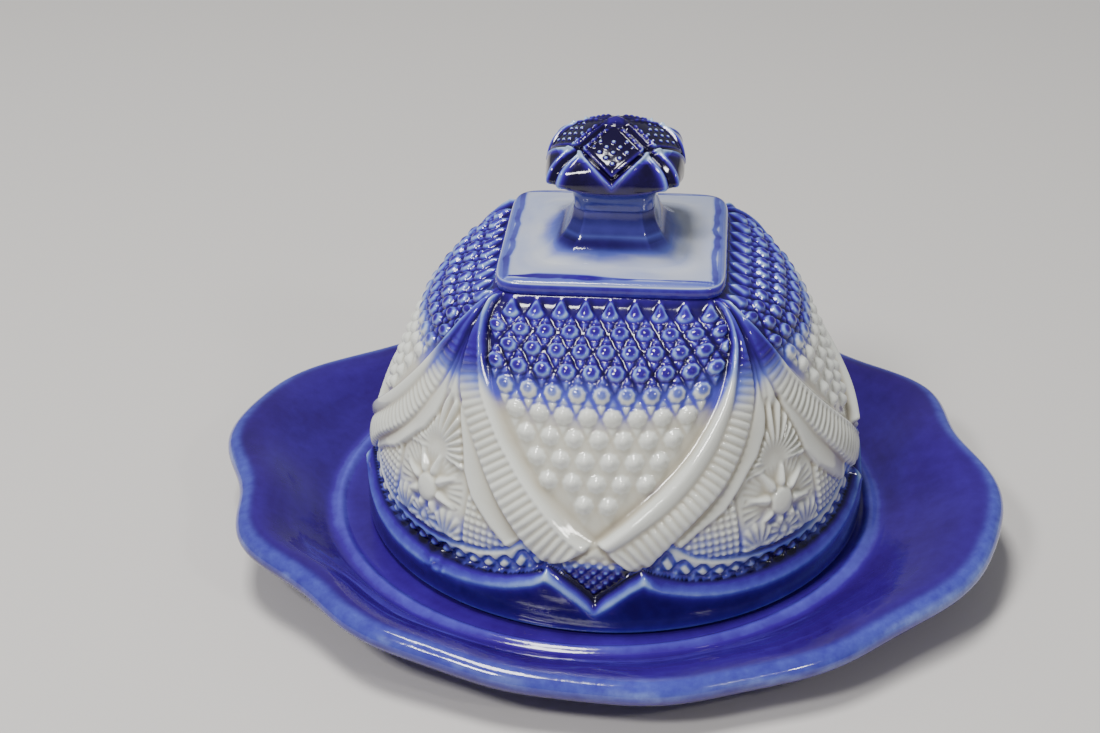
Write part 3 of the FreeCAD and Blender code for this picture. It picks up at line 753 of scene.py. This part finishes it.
r1 = rim - 7.0
dctrl = [dring(70.6, SEAT), dring(71.3, SEAT + 0.03), dring(72.2, SEAT + 0.1), dring(70 + (r1 - 70) * 0.24, SEAT + hgt * 0.15),
         dring(70 + (r1 - 70) * 0.5, SEAT + hgt * 0.44), dring(70 + (r1 - 70) * 0.8, SEAT + hgt * 0.86),
         dring(r1 + 1.5, SEAT + hgt + 0.4), dring(rim - 1.8, SEAT + hgt + 0.6), dring(rim + 0.7, SEAT + hgt - 1.6),
         dring(rim + 0.3, SEAT + hgt - 4.6), dring(rim - 3.4, SEAT + hgt - 6.6), dring(rim - 12, SEAT + hgt * 0.75 - 6.2),
         dring(70.0, 3.8 + 0.06 * hgt), dring(60.0, 3.0), dring(54.0, 3.0)]
side = bspline_rows(np.stack(dctrl), 170)
flat = [dring(r, SEAT) for r in (2, 8, 16, 26, 36, 44, 50, 54, 57, 60, 62.5, 64.5, 66.0)]
bead = []
for r in np.linspace(66.6, 70.5, 14):
    bead.append(dring(r, SEAT + 0.9 * bump(r - 68.6, 2.1)))
under = [dring(r, z) for r, z in ((52.2, 3.0), (51.2, 2.9), (50.7, 2.3), (50.4, 1.2), (49.9, 0.4), (49.0, 0.0), (47.0, 0.0),
                                  (46.0, 0.3), (45.4, 1.0), (45.1, 2.2), (44.6, 2.9), (43.4, 3.0), (34, 3.0), (22, 3.0), (10, 3.0), (2, 3.0))]
Dr = np.concatenate([np.stack(flat), np.stack(bead), side, np.stack(under)])
nd = len(Dr)
nf = len(flat) + len(bead)
dn = wavy(nd, CD, 41, 16, 14, 4)
dr_ = np.hypot(Dr[..., 0], Dr[..., 1])
upper = np.zeros(nd)
upper[nf:nf + len(side)] = 1
i_lip = nf + int(len(side) * 0.50)
on_side = np.zeros((nd, 1)); on_side[nf + 4:nf + int(len(side) * 0.9)] = 1
Dr[..., 2] += 0.10 * dn * on_side
# the foot of each lobe is hand-finished with shallow flutes from the cusps; these are not cut here, only masks for the
# lip, its worn outer edge and the glaze
DN = grid_normals(Dr)
zrel = (Dr[..., 2] - SEAT) / np.maximum(hgt[None, :], 1)
top_side = np.zeros((nd, 1)); top_side[nf:i_lip] = 1
sm = np.convolve(np.r_[rim[-40:], rim, rim[:40]], np.ones(41) / 41, "same")[40:-40]
notch = rim - sm
zr = Dr[..., 2]
outer = np.zeros((nd, 1)); outer[i_lip:] = 1
lipness = sstep(dr_ - (rim - 5.2)[None, :], 0.0, 3.2) * sstep(zr - SEAT - hgt[None, :], -5.0, -1.6)
wear = 0.55 * bump(dr_ - (rim + 0.1)[None, :], 1.2) * sstep(zr - SEAT - hgt[None, :], -4.5, -2.2) * sstep(dn + 0.5 * wavy(nd, CD, 43, 40, 90, 2), -0.2, 0.8)
dcav = 0.10 * dn + 0.55 * bump(dr_ - 69.0, 4.2) * (zr > SEAT - 0.2) * (zr < SEAT + 1.2) - 0.12 * bump(dr_ - 74.0, 4.0) * (outer < 1)
dcav = dcav + 0.10 * (outer > 0) * (dr_ > 52)
dcob = np.where((zr < 0.35), 0.0, 1.0) * np.ones_like(zr)
dish = make_mesh("dish_glazed", Dr, pole0=[0, 0, SEAT], pole1=[0, 0, 3.0], flip=True,
                 attrs={"cav": dcav, "wear": np.clip(wear, 0, 1), "cob": np.clip(dcob, 0, 1), "lip": np.clip(lipness, 0, 1)})

# ------------------------------------------------------------------ materials
def nodes(name):
    m = bpy.data.materials.new(name)
    m.use_nodes = True
    nt = m.node_tree
    nt.nodes.clear()
    out = nt.nodes.new("ShaderNodeOutputMaterial")
    b = nt.nodes.new("ShaderNodeBsdfPrincipled")
    nt.links.new(b.outputs[0], out.inputs[0])
    return m, nt, b


def attr(nt, name):
    a = nt.nodes.new("ShaderNodeAttribute")
    a.attribute_name = name
    return a.outputs["Fac"]


def noise(nt, scale, detail=3.0, rough=0.55, dist=0.0):
    t = nt.nodes.new("ShaderNodeTexCoord")
    n = nt.nodes.new("ShaderNodeTexNoise")
    n.inputs["Scale"].default_value = scale
    n.inputs["Detail"].default_value = detail
    n.inputs["Roughness"].default_value = rough
    n.inputs["Distortion"].default_value = dist
    nt.links.new(t.outputs["Object"], n.inputs["Vector"])
    return n.outputs["Fac"]


def mth(nt, op, a, b=None, c=None, clamp=False):
    n = nt.nodes.new("ShaderNodeMath")
    n.operation = op
    n.use_clamp = clamp
    for i, v in enumerate((a, b, c)):
        if v is None:
            continue
        if isinstance(v, (int, float)):
            n.inputs[i].default_value = v
        else:
            nt.links.new(v, n.inputs[i])
    return n.outputs[0]


def ramp(nt, fac, stops, mode="LINEAR"):
    r = nt.nodes.new("ShaderNodeValToRGB")
    r.color_ramp.interpolation = mode
    e = r.color_ramp.elements
    while len(e) < len(stops):
        e.new(0.5)
    for el, (p, col) in zip(e, stops):
        el.position = p
        el.color = (*col, 1.0)
    nt.links.new(fac, r.inputs[0])
    return r.outputs[0]


def mixc(nt, fac, a, b, mode="MIX"):
    n = nt.nodes.new("ShaderNodeMix")
    n.data_type = "RGBA"
    n.blend_type = mode
    if isinstance(fac, (int, float)):
        n.inputs[0].default_value = fac
    else:
        nt.links.new(fac, n.inputs[0])
    for i, v in ((6, a), (7, b)):
        if isinstance(v, tuple):
            n.inputs[i].default_value = (*v, 1.0)
        else:
            nt.links.new(v, n.inputs[i])
    return n.outputs[2]


def srgb(r, g, b):
    f = lambda c: (c / 255 / 12.92) if c / 255 <= 0.04045 else ((c / 255 + 0.055) / 1.055) ** 2.4
    return (f(r), f(g), f(b))


NAVY, DEEP, COBALT, MID, PALE, ICE = (srgb(14, 2, 44), srgb(30, 5, 92), srgb(52, 20, 138), srgb(76, 78, 184), srgb(122, 148, 212), srgb(168, 192, 222))
CREAM, CREAM_SHADE, CREAM_DEEP_SHADE = srgb(212, 214, 206), srgb(180, 174, 157), srgb(128, 117, 98)


def glaze(name, cav_gain, bias, rough=0.05):
    """Cobalt glaze that pools dark in hollows and thins pale on edges, over a cream body painted with shade in its
    hollows and highlight on its crests.
    """
    m, nt, b = nodes(name)
    cav_a, cob_a, wide_a = attr(nt, "cav"), attr(nt, "cob"), attr(nt, "wide")
    mott = noise(nt, 260.0, 4.0, 0.6)
    big = noise(nt, 70.0, 3.0, 0.5)
    x = mth(nt, "MULTIPLY_ADD", cav_a, cav_gain, bias)
    x = mth(nt, "MULTIPLY_ADD", mth(nt, "SUBTRACT", mott, 0.5), 0.22, x)
    x = mth(nt, "MULTIPLY_ADD", mth(nt, "SUBTRACT", big, 0.5), 0.22, x)
    blue = ramp(nt, x, [(0.0, NAVY), (0.22, DEEP), (0.45, COBALT), (0.66, MID), (0.84, PALE), (1.0, ICE)])
    # the cream is painted: warm grey shade in hollows, a paler painted highlight on crests
    y = mth(nt, "MULTIPLY_ADD", cav_a, 0.62, 0.60)
    y = mth(nt, "MULTIPLY_ADD", mth(nt, "SUBTRACT", big, 0.5), 0.14, y)
    cream = ramp(nt, y, [(0.0, CREAM_DEEP_SHADE), (0.34, CREAM_SHADE), (0.66, CREAM), (1.0, srgb(226, 228, 222))])
    # cobalt thins from hollows outwards as its strength falls
    reach = mth(nt, "MULTIPLY", cob_a, 6.0, clamp=True)
    t = mth(nt, "MULTIPLY_ADD", mth(nt, "MULTIPLY", cav_a, -0.55), reach, cob_a)
    t = mth(nt, "MULTIPLY_ADD", mth(nt, "SUBTRACT", big, 0.5), 0.16, t)
    t2 = nt.nodes.new("ShaderNodeMapRange")
    t2.interpolation_type = "SMOOTHSTEP"
    nt.links.new(t, t2.inputs[0])
    t2.inputs[1].default_value, t2.inputs[2].default_value = 0.06, 0.62
    wash = mixc(nt, t2.outputs[0], cream, ramp(nt, mth(nt, "MULTIPLY_ADD", x, 0.6, 0.42), [(0.0, COBALT), (0.5, MID), (0.85, PALE), (1.0, ICE)]))
    s = nt.nodes.new("ShaderNodeMapRange")
    s.interpolation_type = "SMOOTHSTEP"
    nt.links.new(cob_a, s.inputs[0])
    s.inputs[1].default_value, s.inputs[2].default_value = 0.42, 0.95
    col = mixc(nt, s.outputs[0], wash, blue)
    nt.links.new(col, b.inputs["Base Color"])
    rn = mth(nt, "MULTIPLY_ADD", mott, 0.06, rough)
    hollow = mth(nt, "MULTIPLY", mth(nt, "MULTIPLY", cav_a, -0.60, clamp=True), 0.20 if rough < 0.06 else 0.0)
    nt.links.new(mth(nt, "ADD", rn, hollow, clamp=True), b.inputs["Roughness"])
    b.inputs["Specular IOR Level"].default_value = 0.5
    b.inputs["IOR"].default_value = 1.52
    b.inputs["Coat Weight"].default_value = 0.25
    b.inputs["Coat Roughness"].default_value = 0.04
    b.inputs["Coat IOR"].default_value = 1.5
    bp = nt.nodes.new("ShaderNodeBump")
    bp.inputs["Strength"].default_value = 0.10
    bp.inputs["Distance"].default_value = 0.0004
    nt.links.new(noise(nt, 420.0, 2.0, 0.5), bp.inputs["Height"])
    nt.links.new(bp.outputs[0], b.inputs["Normal"])
    return m


def dish_glaze(name):
    m, nt, b = nodes(name)
    cav_a, cob_a, lip_a, wear_a = attr(nt, "cav"), attr(nt, "cob"), attr(nt, "lip"), attr(nt, "wear")
    mott = noise(nt, 300.0, 4.0, 0.65)
    big = noise(nt, 34.0, 4.0, 0.6, 0.6)
    x = mth(nt, "MULTIPLY_ADD", cav_a, 0.55, 0.42)
    x = mth(nt, "MULTIPLY_ADD", mth(nt, "SUBTRACT", mott, 0.5), 0.20, x)
    x = mth(nt, "MULTIPLY_ADD", mth(nt, "SUBTRACT", big, 0.5), 0.42, x)
    blue = ramp(nt, x, [(0.0, srgb(20, 3, 62)), (0.35, srgb(42, 10, 104)), (0.6, srgb(56, 26, 138)), (0.85, srgb(84, 86, 192)), (1.0, srgb(150, 174, 220))])
    lp = mth(nt, "MULTIPLY_ADD", mth(nt, "SUBTRACT", big, 0.5), 0.9, mth(nt, "MULTIPLY", lip_a, 0.66))
    lp = mth(nt, "MULTIPLY", lp, lip_a, clamp=True)
    col = mixc(nt, lp, blue, ramp(nt, mott, [(0.25, srgb(60, 60, 166)), (0.75, srgb(86, 102, 196))]))
    wr = mth(nt, "MULTIPLY", wear_a, mth(nt, "MULTIPLY_ADD", mott, 1.4, 0.05), clamp=True)
    col = mixc(nt, wr, col, srgb(138, 160, 214))
    col = mixc(nt, mth(nt, "SUBTRACT", 1.0, cob_a, clamp=True), col, srgb(206, 198, 178))
    nt.links.new(col, b.inputs["Base Color"])
    rn = mth(nt, "MULTIPLY_ADD", mott, 0.08, 0.06)
    rn = mth(nt, "MULTIPLY_ADD", mth(nt, "SUBTRACT", 1.0, cob_a, clamp=True), 0.6, rn)
    nt.links.new(rn, b.inputs["Roughness"])
    b.inputs["IOR"].default_value = 1.52
    b.inputs["Coat Weight"].default_value = 0.25
    b.inputs["Coat Roughness"].default_value = 0.04
    bp = nt.nodes.new("ShaderNodeBump")
    bp.inputs["Strength"].default_value = 0.12
    bp.inputs["Distance"].default_value = 0.0005
    nt.links.new(noise(nt, 300.0, 3.0, 0.55), bp.inputs["Height"])
    nt.links.new(bp.outputs[0], b.inputs["Normal"])
    return m


mat_cover = glaze("cover_glaze", 0.62, 0.40)
mat_knob = glaze("knob_glaze", 0.85, 0.25, 0.061)
mat_dish = dish_glaze("dish_glaze")
for ob, m, body, slot, node in ((dome, mat_cover, "cover", "cover_glaze", "cover_dome"), (plat, mat_cover, "cover", "cover_glaze", "cover_dome"),
                                (knob, mat_knob, "cover", "knob_glaze", "cover_knob"), (dish, mat_dish, "dish", "dish_glaze", "dish")):
    ob.data.materials.append(m)
    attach(ob, body)
    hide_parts(node)

# ------------------------------------------------------------------ floor, light
fm_, fnt, fb = nodes("floor")
fb.inputs["Base Color"].default_value = (0.62, 0.60, 0.58, 1)
fb.inputs["Roughness"].default_value = 0.7
me = bpy.data.meshes.new("floor")
me.from_pydata([(-30, -30, 0), (30, -30, 0), (30, 30, 0), (-30, 30, 0)], [], [(0, 1, 2, 3)])
floor = bpy.data.objects.new("floor", me)
bpy.context.scene.collection.objects.link(floor)
me.materials.append(fm_)

w = bpy.data.worlds.new("studio")
bpy.context.scene.world = w
w.use_nodes = True
bg = w.node_tree.nodes["Background"]
bg.inputs[0].default_value = (0.80, 0.84, 0.90, 1)
bg.inputs[1].default_value = 0.24


def area(name, at, to, sx, sy, watts, col=(1, 1, 1)):
    d = bpy.data.lights.new(name, "AREA")
    d.shape = "RECTANGLE"
    d.size, d.size_y, d.energy, d.color = sx, sy, watts, col
    o = bpy.data.objects.new(name, d)
    o.location = at
    o.rotation_euler = (Vector(to) - Vector(at)).to_track_quat("-Z", "Y").to_euler()
    bpy.context.scene.collection.objects.link(o)


area("top", (-0.22, -0.05, 1.25), (0, 0, 0.05), 0.40, 0.30, 15, (1.0, 0.99, 0.97))
area("key", (-0.50, -0.70, 0.95), (0, 0, 0.06), 0.24, 0.18, 8.8, (1.0, 0.99, 0.97))
area("glint", (0.62, -0.62, 0.70), (0, 0, 0.06), 0.10, 0.10, 1.6, (1.0, 0.97, 0.93))
